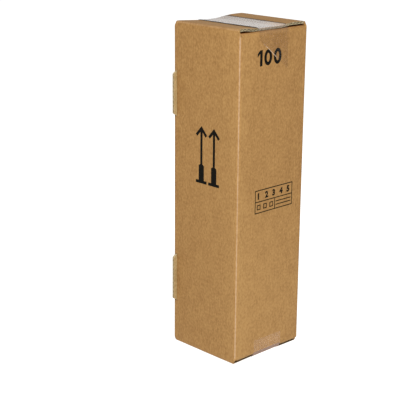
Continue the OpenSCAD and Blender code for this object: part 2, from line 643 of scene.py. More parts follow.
@dataclass(frozen=True)
class KraftLiner(Finish):
    """Unbleached kraft linerboard, formed wet on a wire and rolled.

    Long brown fibres lie in clouds and short streaks, the surface is matt with a faint sheen, and
    a fold stretches and cracks it to a paler line.
    """

    half_w: float
    half_d: float
    half_h: float
    mid_z: float
    fold_out: float
    flute_pitch: float
    dark: str = "#7b5525"
    light: str = "#9f7944"
    worn: str = "#b9a498"
    # Bundles of fibre are about 1 mm long, drawn coarser so that they show in the render
    pulp: PaperGrain = PaperGrain(2.6, 0.7, 3.0)
    streak: PaperGrain = PaperGrain(2.2, 0.09, 2.0)
    cloud: PaperGrain = PaperGrain(16.0, 0.8, 2.0)
    streak_share: float = 0.15
    cloud_share: float = 0.2
    tone_range: tuple[float, float] = (0.31, 0.69)
    # Shift of the tone, with the distances past a fold where it starts and where it is full: a
    # painted highlight near the front fold, painted shade far from it, and paler low on the number
    # face
    front_painted_light: tuple[float, float, float] = (0.19, -28.0, 2.0)
    back_painted_shade: tuple[float, float, float] = (-0.1, -45.0, -120.0)
    low_pale: tuple[float, float, float] = (0.21, -240.0, -90.0)
    # Share of worn paper, with the shares of a fold's radius where it starts and where it is full
    front_wear: tuple[float, float, float] = (0.47, 0.45, 0.67)
    fold_wear: tuple[float, float, float] = (0.08, 0.2, 0.62)
    flap_wear: tuple[float, float, float] = (0.12, 0.2, 0.62)
    # How soon the front fold's wear starts away from the corners
    corner_fade: float = 0.3
    # Fibre pattern that breaks the wear up, and the least that it leaves
    patch_range: tuple[float, float] = (0.3, 0.6)
    patch_least: float = 0.55
    # Share of the flutes in the relief, and its strength and its depth in millimetres
    flute_share: float = 0.35
    bump: tuple[float, float] = (0.35, 0.06)
    roughness: tuple[float, float] = (0.76, 0.88)
    gloss: float = 0.3
    # Loose fibres that catch the light at a low angle
    sheen: float = 0.05
    sheen_roughness: float = 0.5

    def surface(self, tree: Tree, place: Socket) -> Socket:
        """Mix the fibres' colour with the wear and add the relief.

        Args:
            tree: Node tree of the material.
            place: Object coordinates in metres.

        Returns:
            The shader.
        """
        per_mm = (1 / MM, 1 / MM, 1 / MM)
        mm = add_node(tree, "Mapping", {"Scale": per_mm}, {"Vector": place}).outputs[0]
        pulp = self.pulp.draw(tree, mm)
        every, front = self.distances(tree, mm)
        upright = reckon(tree, "MINIMUM", front[0], front[1])
        # Tone shifts: painted highlight near the front fold, painted shade further back, paler low
        # on the number face
        tone = self.shifted_tone(tree, self.fibres(tree, mm, pulp), upright, front)
        brown = blend(tree, tone, self.dark, self.light)
        return add_node(
            tree,
            "BsdfPrincipled",
            {
                "Specular IOR Level": self.gloss,
                "Sheen Weight": self.sheen,
                "Sheen Roughness": self.sheen_roughness,
            },
            {
                "Base Color": blend(tree, self.wear(tree, pulp, upright, every), brown, self.worn),
                "Roughness": ranged(tree, pulp, 0.0, 1.0, *self.roughness),
                "Normal": raised(tree, self.relief(tree, mm, pulp), *self.bump),
            },
        ).outputs[0]

    def fibres(self, tree: Tree, mm: Socket, pulp: Socket) -> Socket:
        """Mix fibre bundles, upright streaks and clouds of pulp into one tone.

        Args:
            tree: Node tree of the material.
            mm: Object coordinates in millimetres.
            pulp: Pattern of the fibre bundles.

        Returns:
            The tone from dark to light.
        """
        streaked = average(tree, self.streak_share, pulp, self.streak.draw(tree, mm))
        clouded = average(tree, self.cloud_share, streaked, self.cloud.draw(tree, mm))
        return ranged(tree, clouded, *self.tone_range)

    def distances(self, tree: Tree, mm: Socket) -> tuple[list[Socket], list[Socket]]:
        """Measure how far a point lies past the start of the folds.

        Args:
            tree: Node tree of the material.
            mm: Object coordinates in millimetres.

        Returns:
            The distances by axis past every fold, and past those on the front side.
        """
        limits = tuple(h - self.fold_out for h in (self.half_w, self.half_d, self.half_h))
        middle = {"operation": "SUBTRACT", 1: (0, 0, self.mid_z)}
        centred = add_node(tree, "VectorMath", middle, {0: mm}).outputs[0]
        found = []
        # Without their signs the coordinates grow to every side, and turned round to the front
        for operation in ("ABSOLUTE", "MULTIPLY"):
            outward = {"operation": operation, 1: (-1, -1, -1)}
            way = add_node(tree, "VectorMath", outward, {0: centred}).outputs[0]
            start = {"operation": "SUBTRACT", 1: limits}
            past = add_node(tree, "VectorMath", start, {0: way}).outputs[0]
            found.append(list(add_node(tree, "SeparateXYZ", None, {0: past}).outputs))
        return found[0], found[1]

    def shifted_tone(self, tree: Tree, tone: Socket, upright: Socket, front: list[Socket]) -> Socket:
        """Shift the tone: painted highlight near the front fold, painted shade far from it, paler
        low down.

        Args:
            tree: Node tree of the material.
            tone: The fibres' tone from dark to light.
            upright: Distance past the front fold.
            front: Distances by axis past the folds on the front side.

        Returns:
            The shifted tone.
        """
        # Far below every reach, except on the number face
        steep = 2 * self.half_h
        on_face = reckon(tree, "MULTIPLY_ADD", front[1], steep, -steep * self.fold_out / 2)
        low = reckon(tree, "MINIMUM", on_face, front[2])
        for place, (most, start, end) in (
            (upright, self.front_painted_light),
            (upright, self.back_painted_shade),
            (low, self.low_pale),
        ):
            tone = reckon(tree, "ADD", tone, ranged(tree, place, start, end, 0.0, most))
        return tone

    def wear(self, tree: Tree, pulp: Socket, upright: Socket, every: list[Socket]) -> Socket:
        """Find how worn the board is, most of all along the front fold.

        Args:
            tree: Node tree of the material.
            pulp: Fibre pattern that breaks the worn line up.
            upright: Distance past the front fold.
            every: Distances by axis past every fold.

        Returns:
            The share of worn paper.
        """
        below = reckon(tree, "MULTIPLY", every[2], -self.corner_fade)
        share = 0.0
        for one, other, (most, start, end) in (
            (upright, below, self.front_wear),
            (every[0], every[1], self.fold_wear),
            (every[0], every[2], self.flap_wear),
        ):
            inner = reckon(tree, "MINIMUM", one, other)
            mask = ranged(tree, inner, start * self.fold_out, end * self.fold_out, 0.0, most)
            share = reckon(tree, "MAXIMUM", share, mask)
        patchy = ranged(tree, pulp, *self.patch_range, self.patch_least)
        return reckon(tree, "MULTIPLY", share, patchy)

    def relief(self, tree: Tree, mm: Socket, pulp: Socket) -> Socket:
        """Add the faint washboard of the flutes to the fibres' relief.

        Args:
            tree: Node tree of the material.
            mm: Object coordinates in millimetres.
            pulp: Fibre pattern.

        Returns:
            The height for a bump.
        """
        look = {"bands_direction": "Z", "Scale": 2 * math.pi / WAVE_TURN / self.flute_pitch}
        flutes = add_node(tree, "TexWave", look, {"Vector": mm}).outputs["Fac"]
        return average(tree, self.flute_share, pulp, flutes)


@dataclass(frozen=True)
class CutBoard(Finish):
    """Die-cut edge of corrugated board.

    The knife leaves grey-brown torn fibre, duller and paler than the rolled face, and the open
    flutes behind it are dark with shadow.
    """

    torn: str = "#c2b494"
    shaded: str = "#8c7d5d"
    fibre_mm: float = 1.2
    fibre_detail: float = 3.0
    fibre_roughness: float = 0.65
    tone_range: tuple[float, float] = (0.3, 0.7)
    # Strength of the relief, and its depth in millimetres
    bump: tuple[float, float] = (0.5, 0.1)
    roughness: float = 0.95
    gloss: float = 0.15

    def surface(self, tree: Tree, place: Socket) -> Socket:
        """Break the edge up into torn and shaded fibre.

        Args:
            tree: Node tree of the material.
            place: Object coordinates in metres.

        Returns:
            The shader.
        """
        size = self.fibre_mm * MM
        torn = speckle(tree, place, size, self.fibre_detail, self.fibre_roughness)
        tone = ranged(tree, torn, *self.tone_range)
        return add_node(
            tree,
            "BsdfPrincipled",
            {"Roughness": self.roughness, "Specular IOR Level": self.gloss},
            {
                "Base Color": blend(tree, tone, self.shaded, self.torn),
                "Normal": raised(tree, torn, *self.bump),
            },
        ).outputs[0]


@dataclass(frozen=True)
class PaintedShade(Finish):
    """Painted shade inside an open flute in corrugated board, and in the slots between its flaps.

    The paper runs on for the width of a panel there, so its end is lost in shadow, painted brown
    here.
    """

    flute_pitch: float
    # Painted shade, varying at random between these two browns
    near: str = "#b98a58"
    far: str = "#946a3c"
    detail: float = 2.0

    def surface(self, tree: Tree, place: Socket) -> Socket:
        """Vary the painted shade from flute to flute.

        Args:
            tree: Node tree of the material.
            place: Object coordinates in metres.

        Returns:
            The shader.
        """
        depth = speckle(tree, place, self.flute_pitch * MM, self.detail)
        colour = blend(tree, depth, self.far, self.near)
        return add_node(tree, "BsdfPrincipled", MATT, {"Base Color": colour}).outputs[0]


@dataclass(frozen=True)
class PackingFilm(Finish):
    """Clear polypropylene packing film, drawn thin and stuck down with a clear adhesive.

    Seen square on it is almost clear and wets the board a shade darker. At a low angle it mirrors
    the bright room. Its long edges on the top are darker, the top is hazier from scuffs and painted
    glare, and a tear stretches it white.
    """

    ior: float = 1.5
    # Share of haze and mirrored light square on, and how steeply it grows to a low angle
    square_on: float = 0.01
    falloff: float = 5.0
    roughness: float = 0.16
    clear: str = "#fcfbfa"
    haze: str = "#a89f98"
    # Colour of the film's darker edges
    dust: str = "#2e2216"
    stretched: str = "#d9b48c"
    # Streaks run along the film, because it is drawn that way
    streak_mm: float = 4.0
    streak_squeeze: float = 0.05
    streak_detail: float = 2.0
    # Stretch of the streaks that the scuffs and painted glare follow, and their least and most
    scuff_and_glare_range: tuple[float, float] = (0.3, 0.7)
    scuff_and_glare_shares: tuple[float, float] = (0.1, 0.4)
    # Strength of the relief, and its depth in millimetres
    bump: tuple[float, float] = (0.25, 0.08)

    def surface(self, tree: Tree, place: Socket) -> Socket:
        """Mix clear film with its haze, its darker edges and whitened stretches.

        Args:
            tree: Node tree of the material.
            place: Object coordinates in metres.

        Returns:
            The shader.
        """
        squeeze = {"Scale": (1.0, self.streak_squeeze, self.streak_squeeze)}
        drawn = add_node(tree, "Mapping", squeeze, {"Vector": place}).outputs[0]
        streak = speckle(tree, drawn, self.streak_mm * MM, self.streak_detail)
        dust, stretch, scuff = (
            add_node(tree, "Attribute", {"attribute_name": mark.value}).outputs["Fac"]
            for mark in FilmMark
        )
        normal = raised(tree, streak, *self.bump)
        darkened = blend(tree, dust, self.haze, self.dust)
        skin = add_node(
            tree,
            "BsdfPrincipled",
            {"IOR": self.ior},
            {
                "Base Color": blend(tree, stretch, darkened, self.stretched),
                "Roughness": ranged(tree, dust, 0.0, 1.0, self.roughness),
                "Normal": normal,
            },
        ).outputs[0]
        through = add_node(tree, "BsdfTransparent", {"Color": linear(self.clear)}).outputs[0]
        facing = add_node(tree, "LayerWeight", None, {"Normal": normal}).outputs["Facing"]
        steep = reckon(tree, "POWER", facing, self.falloff)
        glance = ranged(tree, steep, 0.0, 1.0, self.square_on)
        grain = ranged(tree, streak, *self.scuff_and_glare_range, *self.scuff_and_glare_shares)
        # Haze from scuffs and painted glare on the top, added to the haze at a low angle
        hazed = reckon(tree, "MULTIPLY_ADD", scuff, grain, glance)
        marked = reckon(tree, "MAXIMUM", dust, stretch)
        solid = reckon(tree, "MAXIMUM", hazed, marked)
        return add_node(tree, "MixShader", None, {0: solid, 1: through, 2: skin}).outputs[0]


@dataclass(frozen=True)
class PressInk(Finish):
    """Black water-based ink, printed on bare board with a rubber plate.

    It soaks in matt, and the brown fibres show through where the plate pressed lightly.
    """

    full: str = "#090a08"
    thin: str = "#1e170e"
    # Pin holes in the print are a few tenths of a millimetre, drawn coarser so that they show
    hole_mm: float = 1.6
    hole_detail: float = 2.0
    hole_roughness: float = 0.6
    hole_range: tuple[float, float] = (0.45, 0.8)
    roughness: float = 0.7
    gloss: float = 0.04

    def surface(self, tree: Tree, place: Socket) -> Socket:
        """Thin the ink out in small spots.

        Args:
            tree: Node tree of the material.
            place: Object coordinates in metres.

        Returns:
            The shader.
        """
        holes = speckle(tree, place, self.hole_mm * MM, self.hole_detail, self.hole_roughness)
        colour = blend(tree, ranged(tree, holes, *self.hole_range), self.full, self.thin)
        looks = {"Roughness": self.roughness, "Specular IOR Level": self.gloss}
        return add_node(tree, "BsdfPrincipled", looks, {"Base Color": colour}).outputs[0]


@dataclass(frozen=True)
class StudioPaper(Finish):
    """Matt white paper on a light table.

    The table glows through it from below, so that the pale floor holds hardly any shadow.
    """

    colour: str = "#bcbcbc"
    glow_colour: str = "#ffffff"
    glow: float = 0.85

    def surface(self, tree: Tree, place: Socket) -> Socket:
        """Let the paper glow evenly.

        Args:
            tree: Node tree of the material.
            place: Object coordinates in metres, which plain paper doesn't need.

        Returns:
            The shader.
        """
        lit = {"Emission Color": linear(self.glow_colour), "Emission Strength": self.glow}
        looks = {**MATT, **lit, "Base Color": linear(self.colour)}
        return add_node(tree, "BsdfPrincipled", looks).outputs[0]


@dataclass
class Carton:
    """The folded blank: five wrapped panels, eight flaps, two lock tabs and their slots."""

    board: Board
    handling: Handling
    half_w: float
    half_d: float
    half_h: float
    mid_z: float
    tab_out: float
    top_gap: float = 2.2
    base_gap: float = 0.8
    seam_gap: float = 1.0
    flap_end_gap: float = 4.0
    flap_taper: float = 1.2
    tuck_gap: float = 6.0
    tuck_play: float = 1.0
    ply_gap: float = 0.3
    back_edge_gap: float = 1.5
    upper_tab_h: float = 60.0
    lower_tab_h: float = 67.0
    tab_lead: float = 3.5
    tab_spread: float = 258.0
    slot_play: float = 0.4
    # Height above and below the middle past which panels of different heights part
    plain_z: float = 200.0
    row_pitch: float = 13.0
    step_pitch: float = 12.0
    flap_pitch: float = 3.0
    wave_points: int = 12
    # Share of its normal from which a face counts as turned to the front or the back
    turned_share: float = 0.7
    crease_deg: float = 35.0

    @property
    def fold_x(self) -> float:
        """Middle of the upright folds along X."""
        return self.half_w - self.board.fold_out

    @property
    def fold_y(self) -> float:
        """Middle of the upright folds along Y."""
        return self.half_d - self.board.fold_out

    @property
    def outer_fold_z(self) -> float:
        """Height of the outer flaps' folds above the middle."""
        return self.half_h - self.board.fold_out

    def tuck_top(self, end: End) -> float:
        """Find how far from the middle the tucked flaps' outer face lies."""
        gap = self.top_gap if end is End.TOP else self.base_gap
        return self.half_h - self.board.thickness - gap

    def tuck_fold(self, end: End) -> float:
        """Find how far from the middle the tucked flaps fold."""
        return self.tuck_top(end) - self.board.fold_out

    def inner_top(self, end: End) -> float:
        """Find how far from the middle the inner back panel's edge lies."""
        return self.tuck_top(end) - self.board.thickness - self.ply_gap

    @property
    def inner_back_y(self) -> float:
        """Outer face of the inner back panel."""
        return self.half_d - self.board.thickness - self.ply_gap

    @property
    def inner_fold_y(self) -> float:
        """Middle of the fold between the far wall and the inner back panel."""
        return self.inner_back_y - self.board.fold_out

    @property
    def slot_front_y(self) -> float:
        """Front end of the lock tabs' slots."""
        return self.inner_back_y - self.board.thickness - self.slot_play

    @property
    def back_edge_x(self) -> float:
        """Free edge of the outer back panel beside the far wall."""
        return self.half_w - self.back_edge_gap

    @property
    def inner_edge_x(self) -> float:
        """Free edge of the inner back panel beside the arrow wall."""
        return -self.half_w + self.board.thickness + self.ply_gap

    @property
    def flap_root_y(self) -> float:
        """End of an outer flap at its fold."""
        return self.half_d - self.flap_end_gap

    @property
    def tuck_reach(self) -> float:
        """Side of a tucked flap."""
        return self.half_w - self.board.thickness - self.tuck_play

    @property
    def skins(self) -> tuple[set[int], set[int]]:
        """Numbers of the plies' bounds that are the board's two faces."""
        return {0}, {len(self.board.plies)}

    @property
    def tabs(self) -> tuple[tuple[float, float], ...]:
        """Middle and height of each lock tab."""
        return (-self.tab_spread / 2, self.lower_tab_h), (self.tab_spread / 2, self.upper_tab_h)

    def build(self, finishes: list[bpy.types.Material]) -> bpy.types.Object:
        """Fold the whole carton.

        Args:
            finishes: Those of the carton, by material index.

        Returns:
            The piece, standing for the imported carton.
        """
        bm = bmesh.new()
        ply = bm.verts.layers.int.new("ply")
        start = self.cut_face(bm, ply)
        inner_end = self.wrap(bm, start)
        self.trim_ends(bm)
        self.cut_slots(bm)
        self.raise_tabs(bm, inner_end)
        for end in End:
            for side in (-1, 1):
                self.fold_tucked_flap(bm, side, end)
                self.fold_outer_flap(bm, side, end)
        self.open_back_edge(bm)
        bmesh.ops.recalc_face_normals(bm, faces=bm.faces)
        for face in bm.faces:
            face.material_index = self.finish_of(face, ply)
        for ribbon in self.ribbons():
            bm.from_mesh(ribbon)
            bpy.data.meshes.remove(ribbon)
        bmesh.ops.translate(bm, verts=bm.verts, vec=(0, 0, self.mid_z))
        self.handling.apply(bm)
        piece = make_piece(bm, "carton_board", finishes, self.crease_deg)
        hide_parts("carton")
        return piece

    def finish_of(self, face: BMFace, ply: Layer) -> Paper:
        """Choose the finish of a face by its ply and its place.

        Args:
            face: A face of the folded board, with its flutes marked already.
            ply: Layer that numbers the plies through the board.

        Returns:
            The finish.
        """
        at = face.calc_center_median()
        turned = abs(face.normal.y) >= self.turned_share
        corner_x = self.fold_x - (0.0 if turned else self.board.thickness)
        if abs(at.x) > corner_x and abs(at.y) > self.flap_root_y - SNAP:
            finish = Paper.LINER
        elif self.between_flaps(at):
            # Faces in the unlit slot get painted shade
            finish = Paper.DEPTH
        elif face.material_index or {v[ply] for v in face.verts} in self.skins:
            finish = Paper(face.material_index)
        else:
            # Cut edges at the base get painted shade
            finish = Paper.PAINTED_BASE_SHADE if at.z < -self.tuck_top(End.BOTTOM) else Paper.CUT
        if finish is Paper.LINER and at.x < -self.half_w - SNAP:
            # Lock tabs get a lighter liner: painted light against the shade at their slots
            return Paper.TAB
        return finish

    def between_flaps(self, place: Vector) -> bool:
        """Tell whether a face bounds the unlit slot between the outer and the tucked flaps.

        Args:
            place: Middle of the face, measured from the middle of the carton.

        Returns:
            True for a face in the slot.
        """
        end = End.TOP if place.z > 0 else End.BOTTOM
        roof = self.half_h - self.board.thickness
        level = self.tuck_top(end) - SNAP < abs(place.z) < roof + SNAP
        return level and abs(place.x) < self.fold_x and abs(place.y) < self.fold_y

    def cut_face(self, bm: BMesh, ply: Layer) -> list[BMFace]:
        """Lay out the section of the board along the outer back panel's free edge.

        Args:
            bm: Mesh to work on.
            ply: Layer that numbers the plies through the board.

        Returns:
            The section's faces, three across the thickness.
        """
        marks = [sign * z for sign in (-1, 1) for z in (self.plain_z, self.outer_fold_z)]
        for middle, height in self.tabs:
            for reach in (height / 2, height / 2 + self.slot_play):
                marks += [middle - reach, middle + reach]
        rows = spaced(marks, self.row_pitch)
        last = bm.verts.new((self.back_edge_x, self.half_d - self.board.thickness, rows[0]))
        edges = []
        for number, thick in enumerate(self.board.plies, start=1):
            made = bmesh.ops.extrude_vert_indiv(bm, verts=[last])
            last = made["verts"][0]
            last[ply] = number
            bmesh.ops.translate(bm, verts=[last], vec=(0, thick, 0))
            edges += made["edges"]
        for low, high in pairwise(rows):
            made = bmesh.ops.extrude_edge_only(bm, edges=edges)
            verts, edges, _ = fresh(made["geom"])
            bmesh.ops.translate(bm, verts=verts, vec=(0, 0, high - low))
        return list(bm.faces)

    def wrap(self, bm: BMesh, start: list[BMFace]) -> list[BMFace]:
        """Wrap the board round: outer back, arrow wall, number wall, far wall, inner back.

        Args:
            bm: Mesh to work on.
            start: Section at the free edge of the outer back.

        Returns:
            The faces at the free edge of the inner back.
        """
        x, y, reach, root = self.fold_x, self.fold_y, self.tuck_reach, self.flap_root_y
        legs = (
            (0, (self.back_edge_x, reach, -reach, -x), (-x, y)),
            (1, (y, root, self.slot_front_y, -root, -y), (-x, -y)),
            (0, (-x, -reach, reach, x), (x, -y)),
            (1, (-y, -root, self.inner_fold_y), (x, self.inner_fold_y)),
            (0, (x, self.inner_edge_x), None),
        )
        faces = start
        for axis, marks, corner in legs:
            places = spaced(marks, self.step_pitch)
            if marks[0] > marks[-1]:
                places.reverse()
            for here, there in pairwise(places):
                step = Vector()
                step[axis] = there - here
                faces = grow(bm, faces, step)
            if corner:
                centre = Vector((*corner, 0))
                faces = turn(bm, faces, centre, Vector((0, 0, 1)), QUARTER, self.board.fold_steps)
        return faces

    def top_of(self, place: Vector) -> float:
        """Find how far from the middle the board reaches before its flap, at a place in plan.

        Args:
            place: A point of the wrapped board.

        Returns:
            The distance, at the end that the point is on.
        """
        end = End.TOP if place.z > 0 else End.BOTTOM
        past = self.fold_x + SNAP
        beyond = abs(place.y) - self.fold_y
        slanted = self.outer_fold_z - max(0.0, beyond) * (
            (self.outer_fold_z - self.tuck_fold(end)) / self.board.fold_out
        )
        if place.x < -past:
            return slanted
        if place.x > past:
            if place.y > self.inner_back_y + SNAP:
                return self.tuck_fold(end)
            if place.y > self.inner_fold_y + SNAP:
                return self.inner_top(end)
            return slanted
        if abs(place.y) > self.inner_back_y + SNAP:
            return self.tuck_fold(end)
        return self.inner_top(end)

    def trim_ends(self, bm: BMesh) -> None:
        """Bring both ends of every panel to its own height.

        Args:
            bm: Mesh to work on.
        """
        run = self.outer_fold_z - self.plain_z
        for vert in bm.verts:
            share = (abs(vert.co.z) - self.plain_z) / run
            if share > 0:
                reach = self.plain_z + share * (self.top_of(vert.co) - self.plain_z)
                vert.co.z = math.copysign(reach, vert.co.z)

    def cut_slots(self, bm: BMesh) -> None:
        """Cut the two slots beside the fold of the arrow wall.

        Args:
            bm: Mesh to work on.
        """
        first_step = QUARTER / self.board.fold_steps
        for middle, height in self.tabs:
            reach = height / 2 + self.slot_play
            cell = pick(
                bm,
                lambda at: at.x < self.inner_edge_x - SNAP
                and at.y > self.slot_front_y
                and math.atan2(at.y - self.fold_y, -self.fold_x - at.x) < first_step
                and abs(at.z - middle) < reach,
            )
            bmesh.ops.delete(bm, geom=cell, context="FACES")
            rims = [e for e in bm.edges if e.is_boundary]
            bmesh.ops.bridge_loops(bm, edges=rims)

    def raise_tabs(self, bm: BMesh, inner_end: list[BMFace]) -> None:
        """Draw the two lock tabs out through their slots and open their flutes.

        Args:
            bm: Mesh to work on.
            inner_end: Faces at the free edge of the inner back.
        """
        core_y = self.inner_back_y - self.board.thickness / 2
        for middle, height in self.tabs:
            half = height / 2
            root = [f for f in inner_end if abs(f.calc_center_median().z - middle) < half]
            inner_end = [f for f in inner_end if f not in root]
            faces = grow(bm, root, Vector((-self.half_w - self.inner_edge_x, 0, 0)))
            faces = grow(bm, faces, Vector((-self.tab_out, 0, 0)))
            bmesh.ops.scale(
                bm,
                verts=corners(faces),
                vec=Vector((1, 1, (half - self.tab_lead) / half)),
                space=Matrix.Translation((0, 0, -middle)),
            )
            core = [f for f in faces if abs(f.calc_center_median().y - core_y) < SNAP]
            self.sink(bm, core, Vector((1, 0, 0)))

    def sink(self, bm: BMesh, core: list[BMFace], inward: Vector) -> None:
        """Open the flutes behind a cut edge.

        Args:
            bm: Mesh to work on.
            core: Faces of the edge between the two liners.
            inward: Direction from the edge into the board.
        """
        for face in grow(bm, core, inward * self.board.flute_depth):
            # The open flutes' floors and walls get painted shade
            face.material_index = Paper.DEPTH

    def fold_outer_flap(self, bm: BMesh, side: int, end: End) -> None:
        """Fold an outer flap in from the arrow or the far wall and open its flutes.

        Args:
            bm: Mesh to work on.
            side: -1 for the arrow wall, 1 for the far wall.
            end: End of the carton.
        """
        sign = end.value
        level = sign * self.outer_fold_z
        half = self.board.thickness / 2
        middle_x = side * (self.half_w - half)
        roots = pick(
            bm,
            lambda at: abs(at.x - middle_x) < half
            and abs(at.y) < self.flap_root_y
            and abs(at.z - level) < SNAP,
        )
        centre = Vector((side * self.fold_x, 0, level))
        faces = turn(
            bm, roots, centre, Vector((0, 1, 0)), -side * sign * QUARTER, self.board.fold_steps
        )
        if side > 0:
            self.widen_root(bm, sign)
        places = spaced((self.seam_gap / 2, self.fold_x), self.flap_pitch)[::-1]
        width = self.flap_root_y
        for far, near in pairwise(places):
            faces = grow(bm, faces, Vector((-side * (far - near), 0, 0)))
            share = (self.fold_x - near) / (self.fold_x - self.seam_gap / 2)
            narrowed = self.flap_root_y - self.flap_taper * share
            bmesh.ops.scale(bm, verts=corners(faces), vec=Vector((1, narrowed / width, 1)))
            width = narrowed
        core_z = sign * (self.half_h - half)
        for front in (-1, 1):
            core = pick(
                bm,
                lambda at: 0 < side * at.x < self.fold_x
                and front * at.y > self.flap_root_y - 2 * self.flap_taper
                and abs(at.z - core_z) < SNAP,
            )
            self.sink(bm, core, Vector((0, -front, 0)))

    def widen_root(self, bm: BMesh, sign: int) -> None:
        """Bring the far flap's back end level with the arrow side's, past its shorter wall.

        Args:
            bm: Mesh to work on.
            sign: 1 at the top, -1 at the bottom.
        """
        gain = self.flap_root_y / self.inner_fold_y - 1
        for vert in bm.verts:
            rise = sign * vert.co.z - self.outer_fold_z
            if rise > SNAP and vert.co.x > 0 and vert.co.y > 0:
                bend = math.atan2(rise, vert.co.x - self.fold_x) / QUARTER
                vert.co.y *= 1 + gain * min(1.0, bend)

    def fold_tucked_flap(self, bm: BMesh, side: int, end: End) -> None:
        """Fold a tucked flap in from the number wall or the outer back.

        Args:
            bm: Mesh to work on.
            side: -1 for the number wall, 1 for the back.
            end: End of the carton.
        """
        sign = end.value
        level = sign * self.tuck_fold(end)
        half = self.board.thickness / 2
        middle_y = side * (self.half_d - half)
        roots = pick(
            bm,
            lambda at: abs(at.x) < self.tuck_reach
            and abs(at.y - middle_y) < half
            and abs(at.z - level) < SNAP,
        )
        centre = Vector((0, side * self.fold_y, level))
        faces = turn(
            bm, roots, centre, Vector((1, 0, 0)), side * sign * QUARTER, self.board.fold_steps
        )
        places = spaced((self.tuck_gap / 2, self.fold_y), self.step_pitch)[::-1]
        for far, near in pairwise(places):
            faces = grow(bm, faces, Vector((0, -side * (far - near), 0)))

    def open_back_edge(self, bm: BMesh) -> None:
        """Open the flutes along the outer back panel's free upright edge.

        Args:
            bm: Mesh to work on.
        """
        core_y = self.half_d - self.board.thickness / 2
        core = pick(
            bm,
            lambda at: abs(at.x - self.back_edge_x) < SNAP and abs(at.y - core_y) < SNAP,
        )
        self.sink(bm, core, Vector((-1, 0, 0)))

    def ribbon(self, length: float, place: Matrix, finish: Paper = Paper.CUT) -> bpy.types.Mesh:
        """Make one strip of fluted paper behind a cut edge.

        Args:
            length: How far the cut edge runs.
            place: Takes the edge, the board's thickness and the depth to the carton.
            finish: Its finish.

        Returns:
            The strip's mesh.
        """
        board = self.board
        bm = bmesh.new()
        count = math.ceil(length / board.flute_pitch * self.wave_points)
        bmesh.ops.create_grid(bm, x_segments=count, y_segments=1, size=0.5)
        swing = (board.thickness - 2 * board.liner - board.medium) / 2
        for vert in bm.verts:
            along = (vert.co.x + 0.5) * length
            depth = (vert.co.y + 0.5) * (board.flute_depth - SNAP)
            wave = swing * math.cos(2 * math.pi * along / board.flute_pitch)
            vert.co = Vector((along, wave, depth))
        bmesh.ops.recalc_face_normals(bm, faces=bm.faces)
        thicken(bm, board.medium)
        bmesh.ops.transform(bm, matrix=place, verts=bm.verts)
        bmesh.ops.recalc_face_normals(bm, faces=bm.faces)
        for face in bm.faces:
            face.material_index = finish
        mesh = bpy.data.meshes.new("fluted_paper")
        bm.to_mesh(mesh)
        bm.free()
        return mesh

    def ribbons(self) -> list[bpy.types.Mesh]:
        """Make the fluted paper of every open edge: flap ends, tabs and the back's free edge."""
        strips = []
        core_z = self.half_h - self.board.thickness / 2
        run = self.fold_x - self.seam_gap / 2
        for end in End:
            for side in (-1, 1):
                for front in (-1, 1):
                    along = Vector((-side, -front * self.flap_taper / run, 0))
                    place = self.edge_frame(
                        along,
                        Vector((0, 0, 1)),
                        Vector((0, -front, 0)),
                        Vector((side * self.fold_x, front * self.flap_root_y, end.value * core_z)),
                    )
                    # Fluted paper at the base's cut edges gets painted shade
                    finish = Paper.CUT if end is End.TOP else Paper.PAINTED_BASE_SHADE
                    strips.append(self.ribbon(run, place, finish))
        up, back = Vector((0, 0, 1)), Vector((0, 1, 0))
        core_y = self.inner_back_y - self.board.thickness / 2
        for middle, height in self.tabs:
            edge_h = height - 2 * self.tab_lead
            corner = Vector((-self.half_w - self.tab_out, core_y, middle - edge_h / 2))
            place = self.edge_frame(up, back, Vector((1, 0, 0)), corner)
            strips.append(self.ribbon(edge_h, place))
        low, high = -self.tuck_fold(End.BOTTOM), self.tuck_fold(End.TOP)
        corner = Vector((self.back_edge_x, self.half_d - self.board.thickness / 2, low))
        place = self.edge_frame(up, back, Vector((-1, 0, 0)), corner)
        strips.append(self.ribbon(high - low, place))
        return strips

    @staticmethod
    def edge_frame(along: Vector, through: Vector, inward: Vector, corner: Vector) -> Matrix:
        """Build the matrix that lays a strip along a cut edge.

        Args:
            along: Direction of the edge.
            through: Direction of the board's thickness.
            inward: Direction from the edge into the board.
            corner: Start of the edge, in the middle of the thickness.

        Returns:
            The matrix.
        """
        rows = zip(along, through, inward, corner)
        return Matrix([*(tuple(row) for row in rows), (0, 0, 0, 1)])


